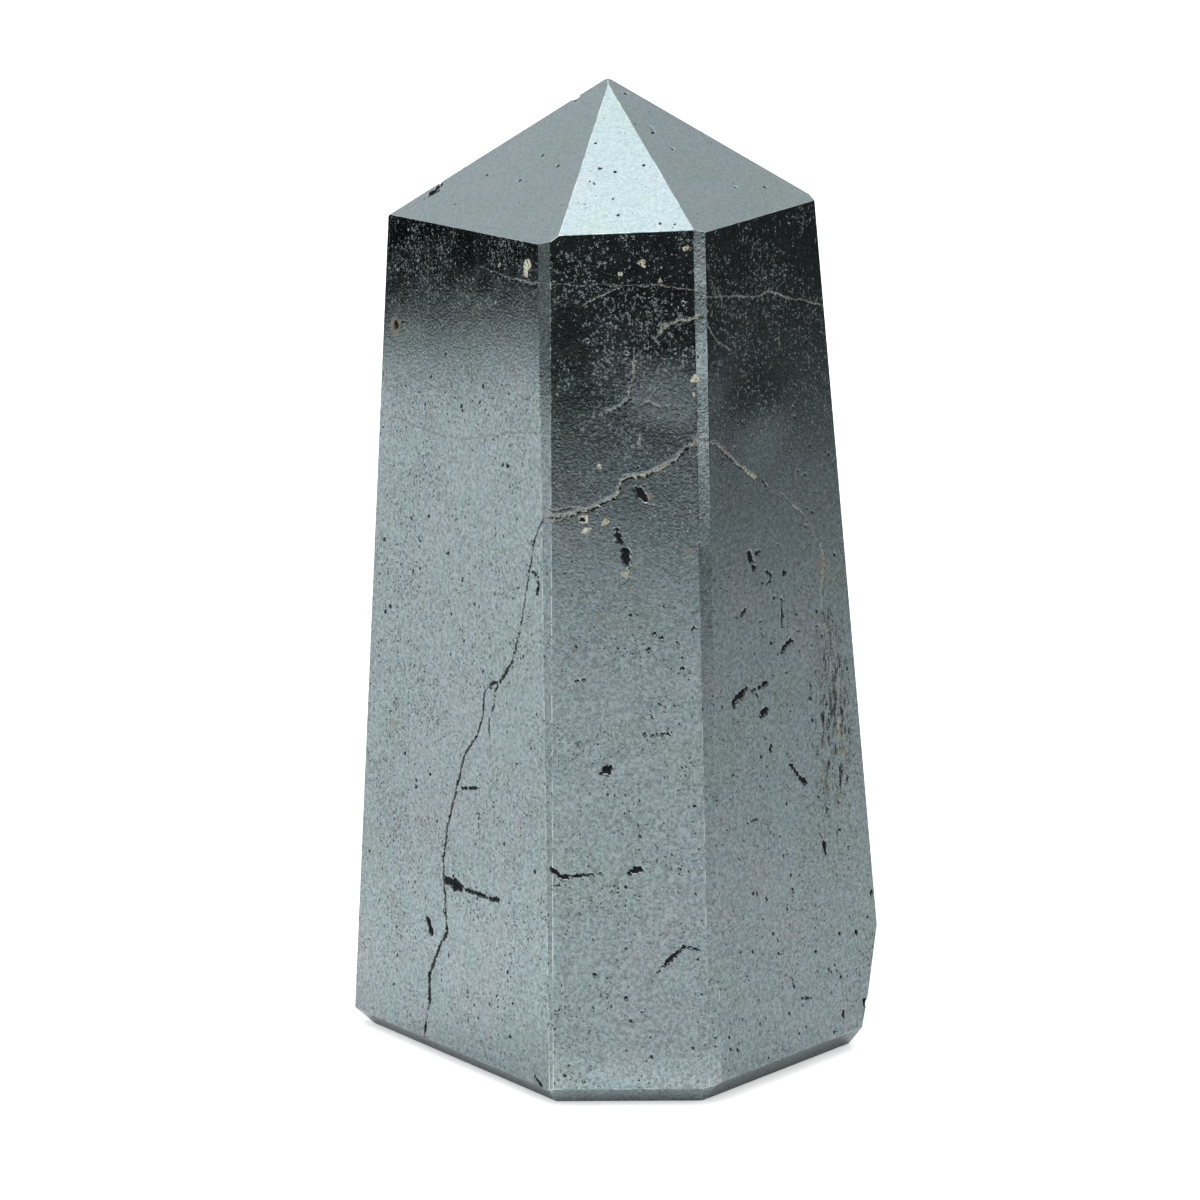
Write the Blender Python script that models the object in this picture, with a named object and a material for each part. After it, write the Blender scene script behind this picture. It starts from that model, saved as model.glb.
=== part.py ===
# Hematite point: a tower sawn and ground from one lump of massive hematite, standing on its base.
# The front is the narrow face (-Y). Sizes are in millimetres and degrees, the model in metres.
import math
import random

import bpy
import bmesh
from mathutils import Matrix, Vector

MM = 0.001
HEIGHT = 89.8            # base to the blunt tip
BLOCK = 200.0            # rough block that the facets are ground from
SEED = 26

# Each facet is (azimuth, reach, lean). Azimuth 0 faces the front and a positive one is turned to
# the right. Reach is how far out the facet crosses the base, and lean how far it tips backwards.
SIDES = {
    "left": (-53.1, 17.8, 2.2),
    "front": (0.9, 22.1, 4.15),
    "right": (50.0, 21.2, 3.6),
    "back_right": (127.2, 19.05, 5.0),
    "back": (180.0, 22.2, 4.0),
    "back_left": (-129.8, 21.0, 2.5),
}
# Narrow strips ground along three of the long edges.
STRIPS = {
    "left_front_strip": (-36.8, 21.03, 3.25),
    "front_right_strip": (22.75, 23.62, 4.3),
    "back_left_strip": (-155.0, 23.65, 3.2),
}
# Crown facets are (azimuth, height at which the facet crosses the axis, slope from level).
CROWN = {
    "left_crown": (-52.1, 90.15, 41.5),
    "front_crown": (-2.0, 89.9, 36.0),
    "right_crown": (43.0, 89.5, 34.1),
    "back_right_crown": (124.0, 89.8, 38.0),
    "back_crown": (180.0, 90.3, 36.0),
    "back_left_crown": (-129.8, 90.5, 37.2),
}
# Base bevels are (height, width) under each face.
BEVELS = {
    "left": (1.5, 1.4),
    "left_front_strip": (1.6, 1.3),
    "front": (1.7, 1.75),
    "front_right_strip": (1.9, 1.9),
    "right": (2.15, 2.05),
    "back_right": (1.8, 1.8),
    "back": (1.7, 1.7),
    "back_left": (1.6, 1.6),
}
# The lower right corner is broken back in two steps.
BROKEN_CORNER = {
    "break_upper": (105.0, 20.85, -11.2),
    "break_lower": (105.0, 20.45, -15.5),
}

# Places on a facet are (millimetres to the right of its middle line, height).
# The long fissure runs down the left face, from the front edge to the base.
FISSURE_WIDTH = 0.44
FISSURE = [
    ("left", [(10.5, 52.8), (9.3, 50.8), (8.5, 46.8), (7.6, 42.5), (6.5, 39.4), (4.7, 37.2),
              (3.1, 36.7), (2.3, 35.6), (2.3, 33.7), (1.4, 31.6), (-0.5, 29.4), (-1.5, 26.3),
              (-2.8, 22.4), (-3.4, 18.9), (-3.0, 15.6), (-2.5, 12.3), (-3.6, 10.8), (-5.2, 7.6),
              (-5.0, 5.3), (-5.8, 1.5)]),
]
# Seams of softer vein mineral, ground a little lower than the stone. The last two are guessed.
VEIN_WIDTH = 0.3
VEINS = [
    [("front", [(-6.6, 52.8), (-4.0, 53.7), (-1.2, 54.5), (0.2, 55.1), (1.3, 56.6), (3.5, 57.4),
                (6.0, 58.9)]),
     ("front_right_strip", [(-0.2, 59.7)]),
     ("right", [(-6.9, 59.5), (-5.7, 58.5), (-4.2, 57.3), (-1.6, 55.7)])],
    [("right", [(2.2, 53.6), (5.0, 51.5), (7.5, 48.2), (7.4, 44.0), (7.4, 40.1), (9.0, 38.0),
                (9.5, 33.1), (9.1, 30.5), (9.8, 25.3), (11.2, 22.2)])],
    [("back_right", [(-9.6, 61.5), (-6.2, 60.2), (-2.5, 61.0), (1.4, 58.6), (4.8, 57.9)])],
    [("back_left", [(-6.0, 33.5), (-2.8, 36.1), (0.4, 36.9), (4.4, 40.2), (6.6, 40.6)])],
]
# Scars are (width, places), the broken and plucked spots that grinding left.
SCARS = {
    "left": [
        (0.9, [(-2.5, 17.2), (-0.6, 17.0)]),
        (0.45, [(0.2, 16.9), (4.4, 16.7), (5.8, 16.4)]),
        (0.45, [(9.4, 47.7), (10.4, 46.5)]),
        (0.6, [(-5.8, 13.2), (-4.7, 11.1)]),
        (0.3, [(-1.0, 26.3), (2.4, 27.0)]),
        (0.3, [(3.1, 25.0), (3.2, 23.0)]),
        (0.4, [(-10.7, 21.2), (-10.6, 19.8)]),
        (0.35, [(11.4, 2.6), (12.7, 1.9)]),
    ],
    "front": [
        (0.45, [(0.3, 52.4), (0.9, 51.3), (1.4, 49.0), (1.1, 47.7)]),
        (0.6, [(2.3, 55.3), (3.3, 54.2)]),
        (0.35, [(3.5, 33.9), (4.7, 34.2), (6.2, 35.2)]),
        (0.7, [(-0.9, 30.7), (-0.3, 31.0)]),
        (0.8, [(0.8, 21.4), (2.3, 21.7)]),
        (0.55, [(-6.1, 21.9), (-5.0, 21.1), (-2.4, 21.2), (-1.4, 21.3)]),
        (0.5, [(-5.1, 20.4), (-5.3, 19.9)]),
        (0.45, [(3.5, 12.4), (4.4, 13.3), (5.9, 14.7), (7.3, 14.4)]),
    ],
    "right": [
        (0.45, [(-3.5, 49.0), (-2.3, 47.4)]),
        (0.5, [(-0.6, 46.9), (-1.0, 45.5)]),
        (0.45, [(1.2, 44.6), (1.1, 41.7)]),
        (0.35, [(-4.4, 43.9), (-5.8, 43.2), (-5.8, 42.4)]),
        (0.55, [(0.5, 38.8), (1.9, 39.7), (3.3, 39.8)]),
        (0.6, [(-8.1, 35.6), (-6.7, 36.4), (-3.9, 36.3), (-2.0, 36.6)]),
        (0.35, [(-2.5, 34.2), (-3.5, 33.6)]),
        (0.45, [(1.4, 27.0), (2.4, 25.9), (3.3, 25.6)]),
        (0.35, [(-5.0, 24.8), (-3.1, 24.9)]),
        (0.55, [(6.2, 21.6), (6.5, 19.5)]),
        (0.35, [(0.6, 9.5), (1.1, 8.2)]),
        (0.35, [(1.9, 7.1), (3.8, 6.7)]),
        (0.5, [(8.3, 4.7), (8.2, 3.7)]),
    ],
    "left_crown": [
        (0.8, [(-11.5, 78.9), (-11.3, 79.8)]),
    ],
    "right_crown": [
        (0.35, [(-0.7, 88.7), (0.5, 88.6)]),
        (0.4, [(-0.3, 86.1), (-0.8, 85.3)]),
    ],
    "back_right": [
        (0.5, [(-6.0, 17.0), (-4.4, 18.4), (-2.8, 18.2)]),
        (0.4, [(3.2, 44.0), (3.6, 41.5)]),
        (0.7, [(1.5, 29.0), (2.6, 29.4)]),
    ],
    "back": [
        (0.45, [(-3.5, 26.0), (-1.6, 24.6), (0.6, 24.9)]),
        (0.4, [(2.8, 52.0), (3.4, 49.6), (2.9, 48.1)]),
        (0.7, [(3.0, 12.0), (4.1, 11.6)]),
    ],
    "back_left": [
        (0.5, [(-5.0, 22.0), (-3.7, 20.6), (-1.9, 20.9)]),
        (0.35, [(2.4, 55.0), (2.2, 52.8)]),
        (0.8, [(4.5, 9.5), (5.3, 10.1)]),
    ],
}
# Single pits are (width, across, height). The widest one held a crystal of vein mineral.
PITS = {
    "left": [(1.2, 7.2, 74.8), (0.6, 3.0, 74.5), (0.8, -12.7, 67.2), (0.7, -12.7, 35.1),
             (0.6, -5.1, 35.5), (0.6, -14.0, 26.1), (0.6, -10.1, 23.9), (0.5, -5.8, 26.6),
             (0.5, -3.8, 47.6), (0.5, -8.2, 45.5), (0.5, 10.8, 21.0)],
    "front": [(1.1, -2.9, 52.8), (0.5, -2.6, 51.5), (0.5, -0.9, 52.4), (0.7, 5.3, 42.0),
              (0.6, 6.7, 43.3), (0.5, 3.9, 42.4), (0.5, 2.7, 41.4), (0.5, 5.7, 76.2),
              (0.5, 2.3, 74.9)],
    "right": [(0.6, -1.6, 48.9), (0.7, 2.0, 46.5), (0.5, -0.3, 40.5), (0.5, 4.4, 39.3),
              (0.5, -2.4, 30.4), (0.8, 10.6, 11.4), (0.5, 4.4, 10.9), (0.5, 8.0, 7.7)],
    "left_crown": [(0.5, -0.7, 83.4), (0.5, -0.9, 81.3), (0.5, 2.5, 82.6)],
    "front_crown": [(0.5, 0.4, 82.6), (0.45, 2.9, 83.1), (0.45, 0.8, 79.4)],
    "right_crown": [(0.5, 3.0, 80.9), (0.5, 6.3, 80.7)],
}
# How many more pits are strewn over each facet, thicker towards the base.
STREWN = {"left": 34, "front": 22, "right": 30, "back_right": 26, "back": 14, "back_left": 20,
          "left_crown": 2, "front_crown": 4, "right_crown": 3, "back_right_crown": 3,
          "back_crown": 2, "back_left_crown": 3}
STREWN_WIDTH = (0.42, 0.62)
PIT_DEPTH = 0.45         # share of a pit's width
PIT_GAP = 1.1            # least distance between two pits
PIT_EDGE = 0.7           # least distance from a pit to an edge
# Nicks in the edges are (facet, width, across, height).
NICKS = [
    ("left_crown", 0.95, -2.75, 88.15),
    ("left_crown", 0.6, -11.5, 80.3),
    ("right", 1.0, 11.6, 4.4),
    ("right", 0.6, 13.2, 14.6),
    ("back", 0.8, 7.6, 31.0),
]


def azimuth_vectors(azimuth):
    """Unit vectors out of a facet and to its right, as seen by someone facing it."""
    turn = math.radians(azimuth)
    outward = Vector((math.sin(turn), -math.cos(turn), 0.0))
    sideways = Vector((math.cos(turn), math.sin(turn), 0.0))
    return outward, sideways


def crown_facet(azimuth, peak, slope):
    return azimuth, peak / math.tan(math.radians(slope)), 90.0 - slope


def bevel_facet(side, height, width):
    azimuth, reach, lean = side
    foot = reach - height * math.tan(math.radians(lean)) - width
    return azimuth, foot, -math.degrees(math.atan2(width, height))


def all_facets():
    facets = dict(SIDES)
    facets.update(STRIPS)
    for name, (azimuth, peak, slope) in CROWN.items():
        facets[name] = crown_facet(azimuth, peak, slope)
    for name, (height, width) in BEVELS.items():
        facets[name + "_bevel"] = bevel_facet(facets[name], height, width)
    facets.update(BROKEN_CORNER)
    return facets


FACETS = all_facets()


def facet_normal(name):
    azimuth, _, lean = FACETS[name]
    outward, _ = azimuth_vectors(azimuth)
    tip = math.radians(lean)
    return outward * math.cos(tip) + Vector((0.0, 0.0, math.sin(tip)))


def facet_point(name, across, height):
    """The place on a facet, in metres."""
    azimuth, reach, lean = FACETS[name]
    outward, sideways = azimuth_vectors(azimuth)
    radius = reach - height * math.tan(math.radians(lean))
    return (outward * radius + sideways * across + Vector((0.0, 0.0, height))) * MM


def room_around(name, point):
    """How far a place on a facet is from the nearest other facet, in millimetres."""
    others = [facet for facet in FACETS if facet != name]
    return min((facet_point(o, 0.0, 0.0) - point).dot(facet_normal(o)) for o in others) / MM


def grind(bm, point, normal):
    """Takes off everything beyond a plane, and closes the cut with one flat face."""
    everything = bm.verts[:] + bm.edges[:] + bm.faces[:]
    cut = bmesh.ops.bisect_plane(bm, geom=everything, plane_co=point, plane_no=normal,
                                 dist=1e-7, clear_outer=True)
    rim = [item for item in cut["geom_cut"] if isinstance(item, bmesh.types.BMEdge)]
    if rim:
        bmesh.ops.edgenet_fill(bm, edges=rim)


def ground_block():
    bm = bmesh.new()
    bmesh.ops.create_cube(bm, size=BLOCK * MM)
    bmesh.ops.translate(bm, verts=bm.verts, vec=(0.0, 0.0, BLOCK * MM / 2))
    for name in FACETS:
        grind(bm, facet_point(name, 0.0, 0.0), facet_normal(name))
    grind(bm, Vector((0.0, 0.0, HEIGHT * MM)), Vector((0.0, 0.0, 1.0)))
    bmesh.ops.recalc_face_normals(bm, faces=bm.faces)
    return bm


def object_from(bm, name, collection):
    mesh = bpy.data.meshes.new(name)
    bm.to_mesh(mesh)
    bm.free()
    thing = bpy.data.objects.new(name, mesh)
    collection.objects.link(thing)
    return thing


def groove_cutter(name, grooves, collection, rng):
    """Tubes laid along the grooves' lines, thin at both ends, that cut half their depth in."""
    curve = bpy.data.curves.new(name, "CURVE")
    curve.dimensions = "3D"
    curve.bevel_depth = MM
    curve.bevel_resolution = 1
    curve.use_fill_caps = True
    for width, stretches in grooves:
        points = [facet_point(facet, across, height)
                  for facet, places in stretches for across, height in places]
        spline = curve.splines.new("POLY")
        spline.points.add(len(points) - 1)
        for index, (point, co) in enumerate(zip(spline.points, points)):
            at_end = index in (0, len(points) - 1)
            point.co = (*co, 1.0)
            point.radius = width / 2 * (0.45 if at_end else rng.uniform(0.85, 1.2))
    tubes = bpy.data.objects.new(name + "_line", curve)
    collection.objects.link(tubes)
    evaluated = tubes.evaluated_get(bpy.context.evaluated_depsgraph_get())
    bm = bmesh.new()
    bm.from_mesh(bpy.data.meshes.new_from_object(evaluated))
    bmesh.ops.remove_doubles(bm, verts=bm.verts, dist=1e-6)
    bmesh.ops.recalc_face_normals(bm, faces=bm.faces)
    bpy.data.objects.remove(tubes, do_unlink=True)
    return object_from(bm, name, collection)


def add_dent(bm, name, width, across, height, rng, depth=PIT_DEPTH):
    """A squashed, craggy ball sunk halfway into a facet."""
    ball = bmesh.ops.create_icosphere(bm, subdivisions=1, radius=width * MM / 2)
    for vert in ball["verts"]:
        vert.co *= rng.uniform(0.8, 1.15)
    _, sideways = azimuth_vectors(FACETS[name][0])
    normal = facet_normal(name)
    axes = Matrix((sideways, normal.cross(sideways), normal)).transposed().to_4x4()
    spin = Matrix.Rotation(rng.uniform(0.0, math.tau), 4, "Z")
    squash = Matrix.Diagonal((1.0, rng.uniform(0.7, 1.0), depth * 2, 1.0))
    place = Matrix.Translation(facet_point(name, across, height)) @ axes @ spin @ squash
    bmesh.ops.transform(bm, matrix=place, verts=ball["verts"])


def strewn_pits(rng):
    """Random pits on each facet, kept off the edges and off each other."""
    pits = [(name, *pit) for name, group in PITS.items() for pit in group]
    taken = [facet_point(name, across, height) for name, _, across, height in pits]
    for name, count in STREWN.items():
        left = count
        while left:
            low = 62.0 if name.endswith("crown") else 0.0
            across = rng.uniform(-25.0, 25.0)
            height = low + (HEIGHT - low) * rng.random() ** 1.3
            point = facet_point(name, across, height)
            if room_around(name, point) < PIT_EDGE:
                continue
            if min((point - other).length for other in taken) < PIT_GAP * MM:
                continue
            pits.append((name, rng.uniform(*STREWN_WIDTH), across, height))
            taken.append(point)
            left -= 1
    return pits


def pit_cutter(collection, rng):
    bm = bmesh.new()
    for name, width, across, height in strewn_pits(rng):
        add_dent(bm, name, width, across, height, rng)
    return object_from(bm, "pit_cutter", collection)


def nick_cutter(collection, rng):
    bm = bmesh.new()
    for name, width, across, height in NICKS:
        add_dent(bm, name, width, across, height, rng, depth=0.4)
    return object_from(bm, "nick_cutter", collection)


def polished_hematite():
    """Massive hematite, ground and satin polished: a dark blue-grey metallic lustre."""
    material = bpy.data.materials.new("polished_hematite")
    material.use_nodes = True
    shader = material.node_tree.nodes["Principled BSDF"]
    shader.inputs["Base Color"].default_value = (0.26, 0.29, 0.31, 1.0)
    shader.inputs["Metallic"].default_value = 1.0
    shader.inputs["Roughness"].default_value = 0.28
    return material


def new_collection(name):
    collection = bpy.data.collections.new(name)
    bpy.context.scene.collection.children.link(collection)
    return collection


def build():
    rng = random.Random(SEED)
    stones = new_collection("hematite point")
    cutters = new_collection("cutters")
    stone = object_from(ground_block(), "hematite_point", stones)
    stone.data.materials.append(polished_hematite())
    scars = [(width, [(name, places)])
             for name, group in SCARS.items() for width, places in group]
    tools = [
        groove_cutter("fissure_cutter", [(FISSURE_WIDTH, FISSURE)], cutters, rng),
        groove_cutter("vein_cutter", [(VEIN_WIDTH, vein) for vein in VEINS], cutters, rng),
        groove_cutter("scar_cutter", scars, cutters, rng),
        pit_cutter(cutters, rng),
        nick_cutter(cutters, rng),
    ]
    for tool in tools:
        tool.hide_render = True
        tool.display_type = "WIRE"
        cut = stone.modifiers.new(tool.name, "BOOLEAN")
        cut.operation = "DIFFERENCE"
        cut.object = tool


for old in list(bpy.data.objects):
    bpy.data.objects.remove(old, do_unlink=True)
build()
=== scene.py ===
# A hematite point: one lump of massive iron ore, sawn, ground to flat facets and satin polished.
# The file follows the lapidary's order: grind the facets, open the flaws, fill the seams, polish.
# The stone is built in millimetres and degrees and scaled to metres last. The setting is in metres.
import math
import random

import bmesh
import bpy
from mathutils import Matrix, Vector, kdtree, noise


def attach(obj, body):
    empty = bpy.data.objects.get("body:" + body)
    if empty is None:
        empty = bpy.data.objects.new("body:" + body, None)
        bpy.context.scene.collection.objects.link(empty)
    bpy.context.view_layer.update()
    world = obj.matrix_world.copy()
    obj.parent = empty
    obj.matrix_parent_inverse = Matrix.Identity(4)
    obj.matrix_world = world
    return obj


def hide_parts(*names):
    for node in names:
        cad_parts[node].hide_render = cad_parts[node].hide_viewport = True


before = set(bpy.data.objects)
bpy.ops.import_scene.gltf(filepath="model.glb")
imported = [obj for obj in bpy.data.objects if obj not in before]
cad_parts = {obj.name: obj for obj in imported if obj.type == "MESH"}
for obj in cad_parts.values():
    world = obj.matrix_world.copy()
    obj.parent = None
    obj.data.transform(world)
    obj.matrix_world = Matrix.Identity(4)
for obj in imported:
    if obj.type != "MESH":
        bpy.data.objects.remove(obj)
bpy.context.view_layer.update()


# The ground block. The real stone was sawn to a rough tower and pressed by hand against a flat
# grinding wheel, one facet at a time: six sides, three narrow strips along long edges, a low crown
# of six facets, and a bevel round the foot. The lower right corner broke off before polishing.
HEIGHT = 89.8
ROUGH_BLOCK = 200.0

# Each facet is (azimuth, reach, lean). Azimuth 0 faces the front and a positive one is turned to
# the right. Reach is how far out the facet crosses the base, and lean how far it tips backwards.
facets = {
    "left": (-53.1, 17.8, 2.2),
    "front": (0.9, 22.1, 4.15),
    "right": (50.0, 21.2, 3.6),
    "back_right": (127.2, 19.05, 5.0),
    "back": (180.0, 22.2, 4.0),
    "back_left": (-129.8, 21.0, 2.5),
    "left_front_strip": (-36.8, 21.03, 3.25),
    "front_right_strip": (22.75, 23.57, 4.3),
    "back_left_strip": (-155.0, 23.65, 3.2),
}
# Crown facets are (azimuth, height at which the facet crosses the axis, slope from level).
CROWN = {
    "left_crown": (-52.1, 90.15, 41.5),
    "front_crown": (-2.0, 89.9, 36.0),
    "right_crown": (43.0, 89.5, 34.1),
    "back_right_crown": (124.0, 89.8, 38.0),
    "back_crown": (180.0, 90.3, 36.0),
    "back_left_crown": (-129.8, 90.5, 37.2),
}
# Base bevels are (height, width) under each face.
BEVELS = {
    "left": (1.5, 1.4),
    "left_front_strip": (1.6, 1.3),
    "front": (1.7, 1.75),
    "front_right_strip": (1.9, 1.9),
    "right": (2.15, 2.05),
    "back_right": (1.8, 1.8),
    "back": (1.7, 1.7),
    "back_left": (1.6, 1.6),
}
# The corner broke back in two steps, which are given as facets.
BROKEN_CORNER = {
    "break_upper": (105.0, 20.85, -11.2),
    "break_lower": (105.0, 20.45, -15.5),
}

for name, (azimuth, peak, slope) in CROWN.items():
    facets[name] = (azimuth, peak / math.tan(math.radians(slope)), 90.0 - slope)
for name, (height, width) in BEVELS.items():
    azimuth, reach, lean = facets[name]
    foot = reach - height * math.tan(math.radians(lean)) - width
    facets[name + "_bevel"] = (azimuth, foot, -math.degrees(math.atan2(width, height)))
facets.update(BROKEN_CORNER)


def facet_axes(name):
    """Unit vectors to the right along a facet, up it, and straight out of it."""
    azimuth, _, lean = facets[name]
    turn, tip = math.radians(azimuth), math.radians(lean)
    sideways = Vector((math.cos(turn), math.sin(turn), 0.0))
    outward = Vector((math.sin(turn), -math.cos(turn), 0.0))
    normal = outward * math.cos(tip) + Vector((0.0, 0.0, math.sin(tip)))
    return sideways, normal.cross(sideways), normal


def facet_point(name, across, height):
    """The place on a facet that is so far to the right of its middle line, at that height."""
    azimuth, reach, lean = facets[name]
    turn = math.radians(azimuth)
    radius = reach - height * math.tan(math.radians(lean))
    out = Vector((math.sin(turn), -math.cos(turn), 0.0)) * radius
    return out + facet_axes(name)[0] * across + Vector((0.0, 0.0, height))


PLANES = {name: (facet_point(name, 0.0, 0.0), facet_axes(name)[2]) for name in facets}
CUT_TOLERANCE = 5e-4


def grind(bm, point, normal):
    """Takes off everything beyond a plane, and closes the cut with one flat face."""
    everything = bm.verts[:] + bm.edges[:] + bm.faces[:]
    cut = bmesh.ops.bisect_plane(bm, geom=everything, plane_co=point, plane_no=normal,
                                 dist=CUT_TOLERANCE, clear_outer=True)
    rim = [item for item in cut["geom_cut"] if isinstance(item, bmesh.types.BMEdge)]
    if rim:
        bmesh.ops.edgenet_fill(bm, edges=rim)


stone = bmesh.new()
bmesh.ops.create_cube(stone, size=ROUGH_BLOCK)
bmesh.ops.translate(stone, verts=stone.verts, vec=(0.0, 0.0, ROUGH_BLOCK / 2))
for point, normal in PLANES.values():
    grind(stone, point, normal)
grind(stone, Vector((0.0, 0.0, HEIGHT)), Vector((0.0, 0.0, 1.0)))
CORNER_MERGE = 0.02
bmesh.ops.remove_doubles(stone, verts=stone.verts, dist=CORNER_MERGE)
bmesh.ops.recalc_face_normals(stone, faces=stone.faces)

# Handling rounded every edge a little. The polish reads which faces are crown, which are rounded
# edges, lightened as a painted highlight, and which lie on the left-front strip, which it darkens.
WORN_EDGE = 0.05
FLAT_ENOUGH = 0.9995
CROWN_RISE = 0.5
BASE_DROP = -0.99
crown_layer = stone.faces.layers.float.new("crown")
# The rounded edge faces, which the polish lightens as a painted highlight.
edge_highlight_layer = stone.faces.layers.float.new("edge")
# The left-front strip's faces, which the polish darkens a little.
dark_strip_layer = stone.faces.layers.float.new("dark_strip")
bmesh.ops.bevel(stone, geom=stone.edges[:], offset=WORN_EDGE, offset_type="OFFSET", segments=2,
                profile=0.5, affect="EDGES", material=-1, clamp_overlap=True)
stone.normal_update()
for face in stone.faces:
    face[crown_layer] = float(face.normal.z > CROWN_RISE)
    flatness = max(face.normal.dot(normal) for _, normal in PLANES.values())
    face[edge_highlight_layer] = float(flatness < FLAT_ENOUGH and face.normal.z > BASE_DROP)
    face[dark_strip_layer] = float(face.normal.dot(PLANES["left_front_strip"][1]) > FLAT_ENOUGH)


# The flaws. Grinding opened pores, plucked out grains and let a long fissure show. All of them are
# small hollows with ragged rims: each is laid out as discs (place, radius, depth) that overlap.
# Places on a facet are (millimetres to the right of its middle line, height).
FISSURE = [(10.5, 52.8), (9.3, 50.8), (8.5, 46.8), (7.6, 42.5), (6.5, 39.4), (4.7, 37.2),
           (3.1, 36.7), (2.3, 35.6), (2.3, 33.7), (1.4, 31.6), (-0.5, 29.4), (-1.5, 26.3),
           (-2.8, 22.4), (-3.4, 18.9), (-3.0, 15.6), (-2.5, 12.3), (-3.6, 10.8), (-5.2, 7.6),
           (-5.0, 5.3), (-5.8, 1.5)]
FISSURE_WIDTHS = (0.16, 0.38)
FISSURE_DEPTH = 0.3
FISSURE_CRUMBS = 0.1
FISSURE_TWIN = [(4.7, 37.2), (4.1, 36.4), (3.9, 34.9), (3.2, 33.4), (3.3, 31.9)]
TWIN_WIDTH = 0.2
# Scars are (width, places), the broken and plucked spots along a line. They are half as deep as
# they are wide, and SCAR_DEPTH at most.
SCAR_DEPTH = 0.3
SCARS = {
    "left": [
        (0.95, [(-2.9, 17.3), (-0.2, 17.0)]),
        (0.4, [(0.2, 17.0), (4.4, 17.1), (5.8, 17.2)]),
        (0.5, [(9.2, 48.0), (9.9, 47.6), (10.1, 46.9), (10.0, 46.0)]),
        (0.6, [(-5.8, 13.2), (-4.7, 11.1)]),
        (0.5, [(-2.5, 12.9), (-2.5, 12.1)]),
        (0.25, [(-1.0, 26.3), (2.4, 27.0)]),
        (0.25, [(2.0, 25.0), (2.1, 23.0)]),
        (0.3, [(11.4, 2.4), (13.0, 1.5)]),
        (0.25, [(13.2, 2.7), (13.7, 1.7)]),
    ],
    "front": [
        (0.4, [(-0.2, 52.3), (0.1, 51.2), (0.5, 50.6)]),
        (0.6, [(0.5, 50.6), (0.7, 49.9), (0.8, 48.8)]),
        (0.55, [(1.6, 55.8), (2.1, 55.1), (2.7, 54.2)]),
        (0.36, [(2.9, 33.7), (3.6, 33.8), (4.4, 33.9)]),
        (0.24, [(4.4, 33.9), (4.9, 34.5), (5.7, 34.9)]),
        (0.2, [(4.4, 34.0), (4.8, 33.5)]),
        (0.6, [(-1.5, 30.3), (-0.9, 30.7), (-0.5, 31.0)]),
        (0.35, [(-1.0, 31.1), (-0.8, 30.5), (-0.9, 30.0)]),
        (0.7, [(0.8, 21.4), (2.3, 21.7)]),
        (0.4, [(-6.1, 21.9), (-5.0, 21.0), (-2.4, 21.2), (-1.4, 21.3)]),
        (0.45, [(-5.0, 21.0), (-5.3, 20.2)]),
        (0.35, [(3.5, 12.4), (4.4, 13.3), (5.9, 14.7), (7.3, 14.4)]),
    ],
    "right": [
        (0.65, [(-3.0, 49.1), (-2.7, 48.5), (-2.2, 47.6)]),
        (0.4, [(-1.7, 48.7), (-1.3, 49.0)]),
        (0.32, [(-0.6, 47.1), (0.1, 46.6), (-0.1, 46.1), (-0.6, 45.8)]),
        (0.24, [(1.5, 44.4), (1.5, 43.0), (1.4, 41.5)]),
        (0.28, [(-5.3, 43.5), (-4.4, 43.7), (-3.4, 44.2)]),
        (0.24, [(-4.5, 43.6), (-4.6, 42.7)]),
        (0.45, [(1.0, 39.3), (1.6, 39.8), (2.3, 40.1), (3.7, 40.2)]),
        (0.85, [(-6.2, 35.8), (-5.4, 36.4), (-4.3, 36.8)]),
        (0.45, [(-3.4, 36.5), (-2.8, 36.8), (-1.7, 36.8), (-0.8, 37.1)]),
        (0.24, [(-0.8, 37.1), (-0.2, 37.5), (0.0, 38.0)]),
        (0.24, [(-2.9, 36.4), (-2.4, 35.7)]),
        (0.6, [(-2.3, 34.0), (-1.7, 34.4), (-1.2, 34.7)]),
        (0.4, [(-1.0, 31.5), (-1.0, 30.5)]),
        (0.35, [(1.7, 29.0), (2.5, 28.2), (3.2, 27.4), (4.2, 26.7)]),
        (0.3, [(-5.0, 24.8), (-3.1, 24.9)]),
        (0.5, [(6.2, 21.6), (6.5, 19.5)]),
        (0.3, [(0.6, 9.5), (1.1, 8.2)]),
        (0.3, [(1.9, 7.1), (3.8, 6.7)]),
        (0.5, [(8.3, 4.7), (8.2, 3.7)]),
    ],
    "left_crown": [
        (0.95, [(-11.5, 78.9), (-11.3, 79.9)]),
    ],
    "right_crown": [
        (0.3, [(-0.7, 88.7), (0.5, 88.6)]),
        (0.4, [(-0.3, 86.1), (-0.8, 85.3)]),
    ],
    "back_right": [
        (0.5, [(-6.0, 17.0), (-4.4, 18.4), (-2.8, 18.2)]),
        (0.4, [(3.2, 44.0), (3.6, 41.5)]),
        (0.7, [(1.5, 29.0), (2.6, 29.4)]),
    ],
    "back": [
        (0.45, [(-3.5, 26.0), (-1.6, 24.6), (0.6, 24.9)]),
        (0.4, [(2.8, 52.0), (3.4, 49.6), (2.9, 48.1)]),
        (0.7, [(3.0, 12.0), (4.1, 11.6)]),
    ],
    "back_left": [
        (0.5, [(-5.0, 22.0), (-3.7, 20.6), (-1.9, 20.9)]),
        (0.35, [(2.4, 55.0), (2.2, 52.8)]),
        (0.8, [(4.5, 9.5), (5.3, 10.1)]),
    ],
}
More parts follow.
